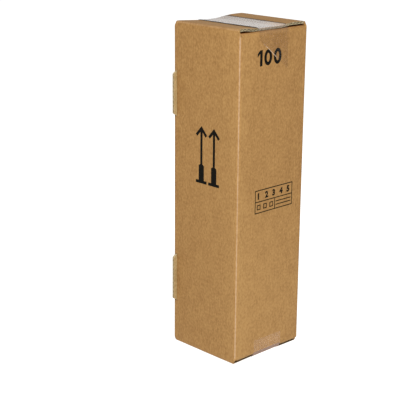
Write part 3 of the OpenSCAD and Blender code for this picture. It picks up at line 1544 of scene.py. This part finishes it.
@dataclass
class FilmStrip:
    """A strip of clear film over one closed end of the carton, down two opposite faces."""

    name: str
    node: str
    carton: Carton
    end: End
    # Middle of the film at its two ends, how far it reaches down each face, and how far down a
    # slanted tear starts on its short side
    near_x: float
    back_x: float
    near_drop: float
    back_drop: float
    tear_short: float | None = None
    width: float = 53.0
    gap: float = 0.11
    thickness: float = 0.04
    ripple: float = 0.03
    ripple_mm: float = 9.0
    ripple_squeeze: float = 0.4
    # Darker long edges, the share of them that is dark all through, and how far they lift on the
    # left and on the right
    rim: float = 2.0
    rim_share: float = 0.6
    lips: tuple[float, float] = (0.0, 0.0)
    lip_fade: float = 6.0
    lip_play: float = 0.25
    # Stretch of the film over the flap's edge, how far down that fades, and stretch and darkening on
    # the rest of the step down to the wall
    edge_haze: float = 0.03
    haze_fade: float = 2.6
    bridge_haze: float = 0.03
    bridge_darkening: float = 0.0
    # Stretch by the number face, and where it starts and is full along and across the top
    pull: float = 0.0
    pull_along: tuple[float, float] = (15.0, 50.0)
    pull_across: tuple[float, float] = (-8.0, 22.0)
    # How much less the film is hazed by scuffs and painted glare over the seam, and how far to its
    # sides
    seam_clear: float = 0.4
    seam_width: float = 5.0
    tooth: float = 1.25
    tooth_depth: float = 0.7
    row_pitch: float = 4.0
    bend_steps: int = 6
    tear_rag: float = 0.9
    rags_per_mm: float = 0.6
    tear_rim: float = 0.9
    # Shares of the width where the tear's whitening starts, is full, starts to fade and ends
    tear_shares: tuple[float, float, float, float] = (0.12, 0.26, 0.5, 0.72)
    # How far past the faces the film's middle line ends
    past: float = 1.15
    crease_deg: float = 50.0

    def build(self, film: bpy.types.Material) -> bpy.types.Object:
        """Stick the strip down.

        Args:
            film: Finish of the film.

        Returns:
            The piece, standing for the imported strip.
        """
        bm = bmesh.new()
        dust, stretch, scuff = (bm.verts.layers.float.new(mark.value) for mark in FilmMark)
        self.lay(bm, dust)
        self.mark(bm, dust, stretch, scuff)
        if self.tear_short is not None:
            self.tear_end(bm, stretch)
        bmesh.ops.recalc_face_normals(bm, faces=bm.faces)
        highest = max(bm.faces, key=lambda f: f.calc_center_median().z)
        if highest.normal.z < 0:
            bmesh.ops.reverse_faces(bm, faces=bm.faces)
        self.wrinkle(bm)
        thicken(bm, self.thickness)
        if self.end is End.BOTTOM:
            bmesh.ops.scale(bm, verts=bm.verts, vec=Vector((1, 1, -1)))
            bmesh.ops.recalc_face_normals(bm, faces=bm.faces)
        bmesh.ops.translate(bm, verts=bm.verts, vec=(0, 0, self.carton.mid_z))
        self.carton.handling.apply(bm)
        piece = make_piece(bm, self.name, [film], self.crease_deg)
        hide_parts(self.node)
        return piece

    def half_line(self, drop: float) -> list[tuple[float, float]]:
        """Follow the board from the end of the film up to the flap's edge.

        Args:
            drop: How far the film reaches down the face.

        Returns:
            Places across and up, from the end of the film to the top.
        """
        box = self.carton
        out = box.board.fold_out
        fold_z = box.tuck_fold(self.end)
        run, rise = out - box.flap_end_gap, box.half_h - fold_z
        bend = math.atan2(rise, run) - math.acos(out / math.hypot(run, rise))
        side = box.half_d + self.gap
        line = [(side, z) for z in spaced((box.half_h - drop, fold_z), self.row_pitch)]
        for i in range(1, self.bend_steps + 1):
            angle = bend * i / self.bend_steps
            reach = out + self.gap
            line.append((
                box.fold_y + reach * math.cos(angle),
                fold_z + reach * math.sin(angle),
            ))
        over = [
            (box.flap_root_y + self.gap * math.cos(angle), box.half_h + self.gap * math.sin(angle))
            for angle in (bend, (bend + QUARTER) / 2, QUARTER)
        ]
        share = self.haze_fade / (over[0][1] - line[-1][1])
        line.append(tuple(up + (down - up) * share for up, down in zip(over[0], line[-1])))
        return line + over

    def line(self) -> list[tuple[float, float]]:
        """Follow the whole film from its near end over the top to its back end."""
        near = [(-y, z) for y, z in self.half_line(self.near_drop)]
        back = self.half_line(self.back_drop)[::-1]
        top_z = near[-1][1]
        across = [(y, top_z) for y in spaced((near[-1][0], back[0][0]), self.row_pitch)]
        return [*near, *across[1:-1], *back]

    def middle_x(self, y: float) -> float:
        """Find the middle of the film, which lies a little askew."""
        reach = self.carton.half_d + self.past
        return self.near_x + (self.back_x - self.near_x) * (y + reach) / (2 * reach)

    def lay(self, bm: BMesh, dust: Layer) -> None:
        """Lay the strip along its line, with toothed ends and darker rims.

        Args:
            bm: Mesh to work on.
            darkening: Layer that holds how much darker the film is.
        """
        line = self.line()
        columns = spaced((0, self.rim, self.width - self.rim, self.width), self.tooth)
        y, z = line[0]
        start = self.middle_x(y) - self.width / 2
        row = [bm.verts.new((start, y, z))]
        edges = []
        for left, right in pairwise(columns):
            made = bmesh.ops.extrude_vert_indiv(bm, verts=[row[-1]])
            row += made["verts"]
            edges += made["edges"]
            bmesh.ops.translate(bm, verts=row[-1:], vec=(right - left, 0, 0))
        first_row = list(row)
        for vert, column in zip(row, columns, strict=True):
            inset = min(column, self.width - column)
            vert[dust] = 1 - smoothstep(self.rim_share * self.rim, self.rim + SNAP, inset)
        for (y0, z0), (y1, z1) in pairwise(line):
            made = bmesh.ops.extrude_edge_only(bm, edges=edges)
            row, edges, _ = fresh(made["geom"])
            step = (self.middle_x(y1) - self.middle_x(y0), y1 - y0, z1 - z0)
            bmesh.ops.translate(bm, verts=row, vec=step)
        for ends in (first_row, sorted(row, key=lambda v: v.co.x)):
            for vert in ends[1::2]:
                vert.co.z += self.tooth_depth

    def mark(self, bm: BMesh, dust: Layer, stretch: Layer, scuff: Layer) -> None:
        """Lift the darker edges, haze the top with scuffs and painted glare, stretch it over steps.

        Args:
            bm: Mesh to work on.
            darkening: Layer that holds how much darker the film is.
            stretch: Layer that holds how stretched the film is.
            scuff: Layer that holds the film's haze from scuffs and painted glare.
        """
        box = self.carton
        for vert in bm.verts:
            on_flap = box.flap_root_y + self.gap / 2 > abs(vert.co.y)
            past_fold = vert.co.z > box.tuck_fold(self.end) + SNAP
            if on_flap:
                # Scuffs and painted glare make the film on the top hazier
                vert[scuff] = 1 - self.seam_clear * math.exp(-((vert.co.x / self.seam_width) ** 2))
                near = smoothstep(*self.pull_along, -vert.co.y)
                across = smoothstep(*self.pull_across, vert.co.x) * (1 - vert[dust])
                vert[stretch] = self.pull * near * across
                inside = smoothstep(0.0, self.lip_fade, box.flap_root_y - abs(vert.co.y))
                wave = noise.noise(vert.co / self.ripple_mm)
                patchy = 1 - self.lip_play + self.lip_play * wave
                lip = self.lips[vert.co.x > self.middle_x(vert.co.y)]
                vert.co.z += lip * inside * patchy * vert[dust]
            elif past_fold:
                level = smoothstep(box.half_h - self.haze_fade, box.half_h, vert.co.z)
                vert[stretch] = self.bridge_haze + (self.edge_haze - self.bridge_haze) * level
                vert[dust] = self.bridge_darkening
            else:
                vert[dust] = 0.0

    def tear_line(self) -> tuple[Vector, Vector]:
        """Find the slanted tear across the near end.

        Returns:
            A point on the tear, and the direction out past it, both on the number face.
        """
        left = Vector((
            self.near_x - self.width / 2,
            -self.carton.half_d - self.gap,
            self.carton.half_h - self.tear_short,
        ))
        fall = self.near_drop - self.tear_short
        outward = Vector((-fall, 0, -self.width)).normalized()
        return left, outward

    def tear_end(self, bm: BMesh, stretch: Layer) -> None:
        """Tear the near end off along a slant, with a ragged stretched rim.

        Args:
            bm: Mesh to work on.
            stretch: Layer that holds how stretched the film is.
        """
        point, outward = self.tear_line()
        for inset in (0.0, self.tear_rim):
            faces = pick(bm, lambda at: at.y < -self.carton.half_d)
            cut = bmesh.ops.bisect_plane(
                bm,
                geom=region(bm, faces),
                plane_co=point - outward * inset,
                plane_no=outward,
                clear_outer=inset == 0.0,
            )
            if inset == 0.0:
                rim = [g for g in cut["geom_cut"] if isinstance(g, BMVert)]
        for vert in rim:
            share = (vert.co.x - point.x) / self.width
            start, full, last, end = self.tear_shares
            vert[stretch] = smoothstep(start, full, share) * (1 - smoothstep(last, end, share))
            vert.co += outward * (self.tear_rag * noise.noise(vert.co * self.rags_per_mm))

    def wrinkle(self, bm: BMesh) -> None:
        """Raise faint wrinkles in the film, away from the board.

        Args:
            bm: Mesh to work on, with its faces pointing outwards.
        """
        bm.normal_update()
        squeeze = Vector((1, self.ripple_squeeze, self.ripple_squeeze))
        for vert in bm.verts:
            wave = noise.noise(vert.co * squeeze / self.ripple_mm)
            vert.co += vert.normal * self.ripple * max(0.0, wave)


@dataclass
class Print:
    """Flat printing on one of the upright faces, a hair proud of the board."""

    name: str
    handling: Handling
    wall: Wall
    gap: float = 0.02
    ink_thickness: float = 0.02
    # Faces are about this long, so that the print can follow the wall
    grain: float = 9.0
    crease_deg: float = 30.0

    def build(self, ink: bpy.types.Material) -> bpy.types.Object:
        """Print the mark, give it the thickness of the ink and stand it on its wall.

        Args:
            ink: Finish of the print.

        Returns:
            The piece.
        """
        bm = bmesh.new()
        self.draw(bm)
        bmesh.ops.remove_doubles(bm, verts=bm.verts, dist=SNAP / 2)
        for face in bm.faces:
            if face.normal.z < 0:
                face.normal_flip()
        bmesh.ops.translate(bm, verts=bm.verts, vec=(0, 0, self.gap + self.ink_thickness))
        thicken(bm, self.ink_thickness)
        if self.wall is Wall.NUMBER:
            across, outward = (1, 0, 0, 0), (0, 0, -1, -self.handling.half_d)
            rows = (across, outward, (0, 1, 0, 0), (0, 0, 0, 1))
        else:
            across, outward = (-1, 0, 0, 0), (0, 0, -1, -self.handling.half_w)
            rows = (outward, across, (0, 1, 0, 0), (0, 0, 0, 1))
        bmesh.ops.transform(bm, matrix=Matrix(rows), verts=bm.verts)
        self.handling.apply(bm)
        return make_piece(bm, self.name, [ink], self.crease_deg)

    def draw(self, bm: BMesh) -> None:
        """Draw the flat print in X and Y, which each print does in its own way.

        Args:
            bm: Empty mesh, in millimetres on the wall.
        """
        raise NotImplementedError

    def bar(self, bm: BMesh, left: float, low: float, right: float, high: float) -> list[BMVert]:
        """Add an upright rectangle to a flat print, in rows that can follow the wall.

        Args:
            bm: Flat print, in X and Y.
            left: Lowest place across.
            low: Lowest place up.
            right: Highest place across.
            high: Highest place up.

        Returns:
            The rectangle's vertices.
        """
        made = bmesh.ops.create_grid(
            bm,
            x_segments=max(1, round((right - left) / self.grain)),
            y_segments=max(1, round((high - low) / self.grain)),
            size=0.5,
            matrix=Matrix.Translation(((left + right) / 2, (low + high) / 2, 0))
            @ Matrix.Diagonal((right - left, high - low, 1, 1)),
        )
        return made["verts"]

    def digits(
        self, bm: BMesh, words: str, height: float, left: float, low: float, bold: float
    ) -> None:
        """Add plain numerals to a flat print.

        Args:
            bm: Flat print, in X and Y.
            words: The numerals.
            height: Height of the numerals.
            left: Left end of the row.
            low: Foot of the row.
            bold: How much each stroke is widened.
        """
        curve = bpy.data.curves.new("numerals", "FONT")
        curve.body = words
        curve.size = height
        curve.offset = bold
        shape = bpy.data.objects.new("numerals", curve)
        mesh = bpy.data.meshes.new_from_object(shape)
        bpy.data.objects.remove(shape)
        bpy.data.curves.remove(curve)
        known = set(bm.verts)
        bm.from_mesh(mesh)
        bpy.data.meshes.remove(mesh)
        verts = [v for v in bm.verts if v not in known]
        xs = [v.co.x for v in verts]
        ys = [v.co.y for v in verts]
        scale = height / (max(ys) - min(ys))
        bmesh.ops.translate(bm, verts=verts, vec=(-min(xs), -min(ys), 0))
        bmesh.ops.scale(bm, verts=verts, vec=Vector((scale, scale, 1)))
        bmesh.ops.translate(bm, verts=verts, vec=(left, low, 0))


@dataclass
class UpArrows(Print):
    """Two upright arrows on the arrow face, each on a thick foot with a ground line."""

    middles: tuple[float, float] = (-7.2, 16.1)
    tip_z: float = 317.3
    barb_run: float = 10.6
    barb_drop: float = 11.6
    stroke: float = 4.0
    foot_z: float = 266.0
    foot_width: float = 9.8
    ground_z: float = 240.0
    ground_thick: float = 4.0
    ground_width: float = 20.2

    def draw(self, bm: BMesh) -> None:
        """Draw the arrows.

        Args:
            bm: Empty mesh, in millimetres on the wall.
        """
        for middle in self.middles:
            self.arrow(bm, middle)

    def arrow(self, bm: BMesh, middle: float) -> None:
        """Draw one arrow from its ground line to its tip.

        Args:
            bm: Flat print.
            middle: Middle of the arrow across the face.
        """
        slope = self.barb_drop / self.barb_run
        deep = self.stroke * math.hypot(1, slope)
        ground_top = self.ground_z + self.ground_thick
        shoulder = self.foot_z - self.stroke / 2
        ground, foot, stem = self.ground_width / 2, self.foot_width / 2, self.stroke / 2
        self.bar(bm, middle - ground, self.ground_z, middle + ground, ground_top)
        self.bar(bm, middle - foot, ground_top, middle + foot, shoulder)
        neck = self.bar(bm, middle - foot, shoulder, middle + foot, self.foot_z)
        for vert in neck:
            if vert.co.y > self.foot_z - SNAP:
                vert.co.x = middle + (vert.co.x - middle) * stem / foot
        stem_top = self.tip_z - deep - slope * stem
        self.bar(bm, middle - stem, self.foot_z, middle + stem, stem_top)
        peak = self.bar(bm, middle - stem, stem_top, middle + stem, stem_top + slope * stem)
        for vert in peak:
            if vert.co.y > stem_top + SNAP:
                vert.co.x = middle
        trim = self.stroke * math.sin(math.atan(slope)) / self.barb_run
        for side in (-1, 1):
            barb = self.bar(bm, 0, 0, self.barb_run, deep)
            for vert in barb:
                across = vert.co.x * (1 - trim * (1 - vert.co.y / deep))
                vert.co.x = middle + side * across
                vert.co.y += self.tip_z - deep - slope * across


@dataclass
class NumberMark(Print):
    """A plain number high on the number face."""

    left: float = -30.8
    low: float = 399.7
    height: float = 20.5
    stroke: float = 4.5
    flag_drop: float = 4.2
    one_width: float = 9.0
    zero_width: float = 14.5
    space: float = 3.2
    zeros: int = 2
    ring_steps: int = 48

    def draw(self, bm: BMesh) -> None:
        """Draw the number.

        Args:
            bm: Empty mesh, in millimetres on the wall.
        """
        self.one(bm, self.left)
        start = self.left + self.one_width + self.space
        for i in range(self.zeros):
            self.zero(bm, start + i * (self.zero_width + self.space))

    def one(self, bm: BMesh, left: float) -> None:
        """Draw a one, as an upright stem with a slanted flag.

        Args:
            bm: Flat print.
            left: Left end of the numeral.
        """
        top = self.low + self.height
        stem = left + self.one_width - self.stroke
        self.bar(bm, stem, self.low, stem + self.stroke, top)
        for vert in self.bar(bm, left, top - self.stroke, stem, top):
            vert.co.y -= self.flag_drop * (stem - vert.co.x) / (stem - left)

    def zero(self, bm: BMesh, left: float) -> None:
        """Draw a zero, as a tall ring.

        Args:
            bm: Flat print.
            left: Left end of the numeral.
        """
        half_x, half_y = self.zero_width / 2, self.height / 2
        middle = Matrix.Translation((left + half_x, self.low + half_y, 0))
        bmesh.ops.create_circle(
            bm,
            segments=self.ring_steps,
            radius=1.0,
            matrix=middle @ Matrix.Diagonal((half_x, half_y, 1, 1)),
        )
        made = bmesh.ops.extrude_edge_only(bm, edges=[e for e in bm.edges if e.is_wire])
        inner = Vector((1 - self.stroke / half_x, 1 - self.stroke / half_y, 1))
        bmesh.ops.scale(bm, verts=fresh(made["geom"])[0], vec=inner, space=middle.inverted())


@dataclass
class CountPanel(Print):
    """A small ruled panel on the number face, with plain numbers, boxes to tick and lines."""

    left: float = -29.9
    right: float = 42.4
    low: float = 205.2
    high: float = 237.0
    rule: float = 1.3
    split_z: float = 220.3
    lines_left: float = 9.0
    numbers: int = 5
    digit_h: float = 9.0
    digit_w: float = 6.0
    bold: float = 0.5
    boxes: int = 3
    box: float = 7.0
    lines: int = 2

    def draw(self, bm: BMesh) -> None:
        """Draw the panel.

        Args:
            bm: Empty mesh, in millimetres on the wall.
        """
        inner_left, inner_right = self.left + self.rule, self.right - self.rule
        self.frame(bm, self.left, self.low, self.right, self.high)
        self.bar(bm, inner_left, self.split_z, inner_right, self.split_z + self.rule)
        digit_low = (self.split_z + self.high - self.digit_h) / 2
        pitch = (inner_right - inner_left) / self.numbers
        for i in range(self.numbers):
            digit_left = inner_left + (i + 0.5) * pitch - self.digit_w / 2
            self.digits(bm, str(i + 1), self.digit_h, digit_left, digit_low, self.bold)
        bottom = self.low + self.rule
        self.bar(bm, self.lines_left - self.rule, bottom, self.lines_left, self.split_z)
        self.fill_cells(bm, inner_left, inner_right, bottom)

    def frame(self, bm: BMesh, left: float, low: float, right: float, high: float) -> None:
        """Rule an open rectangle.

        Args:
            bm: Flat print.
            left: Lowest place across.
            low: Lowest place up.
            right: Highest place across.
            high: Highest place up.
        """
        for x in (left, right - self.rule):
            self.bar(bm, x, low, x + self.rule, high)
        for y in (low, high - self.rule):
            self.bar(bm, left + self.rule, y, right - self.rule, y + self.rule)

    def fill_cells(self, bm: BMesh, left: float, right: float, low: float) -> None:
        """Rule the boxes in the panel's lower left cell and the lines in its lower right one.

        Args:
            bm: Flat print.
            left: Left end of the left cell.
            right: Right end of the right cell.
            low: Foot of the cells.
        """
        pitch = (self.lines_left - self.rule - left) / self.boxes
        box_low = (low + self.split_z - self.box) / 2
        for i in range(self.boxes):
            x = left + (i + 0.5) * pitch - self.box / 2
            self.frame(bm, x, box_low, x + self.box, box_low + self.box)
        step = (self.split_z - low) / (self.lines + 1)
        for i in range(self.lines):
            y = low + (i + 1) * step - self.rule / 2
            self.bar(bm, self.lines_left + self.rule, y, right - self.rule, y + self.rule)


@dataclass(frozen=True)
class Panel:
    """A square lamp that lights softly, in metres and watts."""

    name: str
    place: tuple[float, float, float]
    aim: tuple[float, float, float]
    size: float
    power: float

    def hang(self) -> None:
        """Hang the lamp up and aim it."""
        data = bpy.data.lights.new(self.name, "AREA")
        data.size = self.size
        data.energy = self.power
        lamp = bpy.data.objects.new(self.name, data)
        way = Vector(self.aim) - Vector(self.place)
        turned = way.to_track_quat("-Z", "Y").to_matrix().to_4x4()
        lamp.matrix_world = Matrix.Translation(self.place) @ turned
        bpy.context.scene.collection.objects.link(lamp)


@dataclass
class Studio:
    """Plain pale floor, soft light and the camera, with their places in metres."""

    focal_px: float = 1127.3
    image_px: float = 400.0
    sensor_mm: float = 36.0
    eye: tuple[float, float, float] = (-1.0573, -1.0231, 0.6423)
    yaw_deg: float = 46.06
    pitch_deg: float = 16.54
    roll_deg: float = 0.40
    floor_half: float = 30.0
    sky_colour: str = "#ffffff"
    sky_strength: float = 0.35
    panels: tuple[Panel, ...] = (
        Panel("front_panel", (-1.53, -1.58, 2.45), (0, 0, 0.25), 1.4, 118.0),
        Panel("back_panel", (2.2, 2.1, 1.35), (0, 0, 0.45), 1.6, 4.5),
    )

    def build(self) -> None:
        """Set the stage."""
        self.place_camera()
        self.lay_floor()
        self.light()

    def place_camera(self) -> None:
        """Stand the camera where the photograph was taken."""
        yaw, pitch, roll = (
            math.radians(a) for a in (self.yaw_deg, self.pitch_deg, self.roll_deg)
        )
        level = math.cos(pitch)
        ahead = Vector((math.cos(yaw) * level, math.sin(yaw) * level, -math.sin(pitch)))
        right = Vector((math.sin(yaw), -math.cos(yaw), 0))
        upward = right.cross(ahead)
        axis_x = math.cos(roll) * right + math.sin(roll) * upward
        axis_y = math.cos(roll) * upward - math.sin(roll) * right
        data = bpy.data.cameras.new("camera")
        data.sensor_fit = "HORIZONTAL"
        data.sensor_width = self.sensor_mm
        data.lens = self.focal_px / self.image_px * self.sensor_mm
        camera = bpy.data.objects.new("camera", data)
        axes = Matrix((axis_x, axis_y, -ahead)).transposed()
        camera.matrix_world = Matrix.Translation(self.eye) @ axes.to_4x4()
        bpy.context.scene.collection.objects.link(camera)
        bpy.context.scene.camera = camera

    def lay_floor(self) -> None:
        """Lay a pale floor that reaches past the view."""
        bm = bmesh.new()
        bmesh.ops.create_grid(bm, x_segments=1, y_segments=1, size=self.floor_half)
        mesh = bpy.data.meshes.new("studio_floor")
        bm.to_mesh(mesh)
        bm.free()
        mesh.materials.append(StudioPaper("studio_paper_matt").build())
        floor = bpy.data.objects.new("studio_floor", mesh)
        bpy.context.scene.collection.objects.link(floor)

    def light(self) -> None:
        """Light the room softly, with a bright panel in front and a dim one behind."""
        scene = bpy.context.scene
        scene.view_settings.view_transform = "Standard"
        scene.world = bpy.data.worlds.new("studio_room")
        scene.world.use_nodes = True
        sky = scene.world.node_tree.nodes["Background"]
        sky.inputs["Color"].default_value = linear(self.sky_colour)
        sky.inputs["Strength"].default_value = self.sky_strength
        for panel in self.panels:
            panel.hang()


def main() -> None:
    """Build the carton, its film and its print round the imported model, and light them."""
    logging.basicConfig(level=logging.INFO, format="%(name)s: %(message)s")
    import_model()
    low, high = (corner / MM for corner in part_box("carton"))
    # Half the width, the depth and the height of the carton, and the height of its middle
    size = (high.x, high.y, (high.z - low.z) / 2, (high.z + low.z) / 2)
    board = Board()
    lid_high = high.z - board.thickness - SNAP
    handling = Handling(*size, lid_high - Carton.top_gap, lid_high)
    carton = Carton(board, handling, *size, tab_out=-low.x - high.x)
    liner = KraftLiner("kraft_linerboard_rolled", *size, board.fold_out, board.flute_pitch)
    finishes = {
        Paper.LINER: liner,
        Paper.CUT: CutBoard("corrugated_board_die_cut"),
        # Painted shade for the open flutes and the slot between the flaps
        Paper.DEPTH: PaintedShade("corrugating_paper_painted_shade", board.flute_pitch),
        # Painted shade for the cut edges at the base, dark like the shadow along the floor
        Paper.PAINTED_BASE_SHADE: CutBoard("corrugated_board_painted_base_shade", torn="#8a7450", shaded="#5e4d33"),
        # Lighter copy of the liner on the lock tabs: painted light against the shade at their slots
        Paper.TAB: replace(liner, name="kraft_linerboard_painted_light", dark="#907648", light="#b49a6d"),
    }
    carton.build([finishes[paper].build() for paper in Paper])
    near_x, back_x = handling.sag_x
    FilmStrip(
        "top_film",
        "top_tape",
        carton,
        End.TOP,
        near_x=near_x,
        back_x=back_x,
        near_drop=58.0,
        back_drop=40.0,
        tear_short=16.0,
        lips=(1.5, 0.7),
        pull=0.5,
        edge_haze=0.3,
    ).build(PackingFilm("polypropylene_film_drawn").build())
    scuffed = PackingFilm(
        "polypropylene_film_scuffed", square_on=0.05, clear="#feffff", haze="#f7cbb0"
    )
    FilmStrip(
        "bottom_film",
        "bottom_tape",
        carton,
        End.BOTTOM,
        near_x=0.0,
        back_x=0.0,
        near_drop=25.0,
        back_drop=25.0,
        bridge_darkening=0.7,
    ).build(scuffed.build())
    ink = PressInk("printing_ink_pressed").build()
    UpArrows("up_arrows", handling, Wall.ARROW).build(ink)
    NumberMark("number_mark", handling, Wall.NUMBER).build(ink)
    CountPanel("count_panel", handling, Wall.NUMBER).build(ink)
    Studio().build()


if __name__ == "__main__":
    main()
